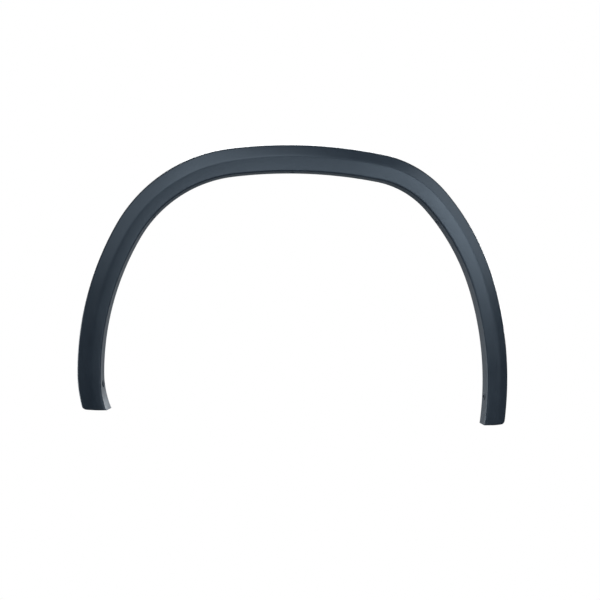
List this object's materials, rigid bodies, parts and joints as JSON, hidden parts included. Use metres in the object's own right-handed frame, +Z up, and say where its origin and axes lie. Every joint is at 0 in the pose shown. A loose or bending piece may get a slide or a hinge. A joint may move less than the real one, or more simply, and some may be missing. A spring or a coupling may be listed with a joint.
{
  "type": "wheel arch trim",
  "caption": "Moulded plastic trim strip for a car's wheel arch: a creased arch-shaped face with a return flange, screw seats, clip towers and locating pegs.",
  "frame": {"origin": "centre of the crown screw hole, on its seat in the wheel opening", "axes": "+X towards the car's rear, +Y into the car, +Z up; the visible face looks towards -Y"},
  "size_m": [0.9288, 0.0767, 0.6022],
  "materials": {
    "trim_plastic": "fine moulded grain, dark blue-grey"
  },
  "bodies": {
    "root": {"arch_trim": "trim_plastic"}
  },
  "joints": []
}
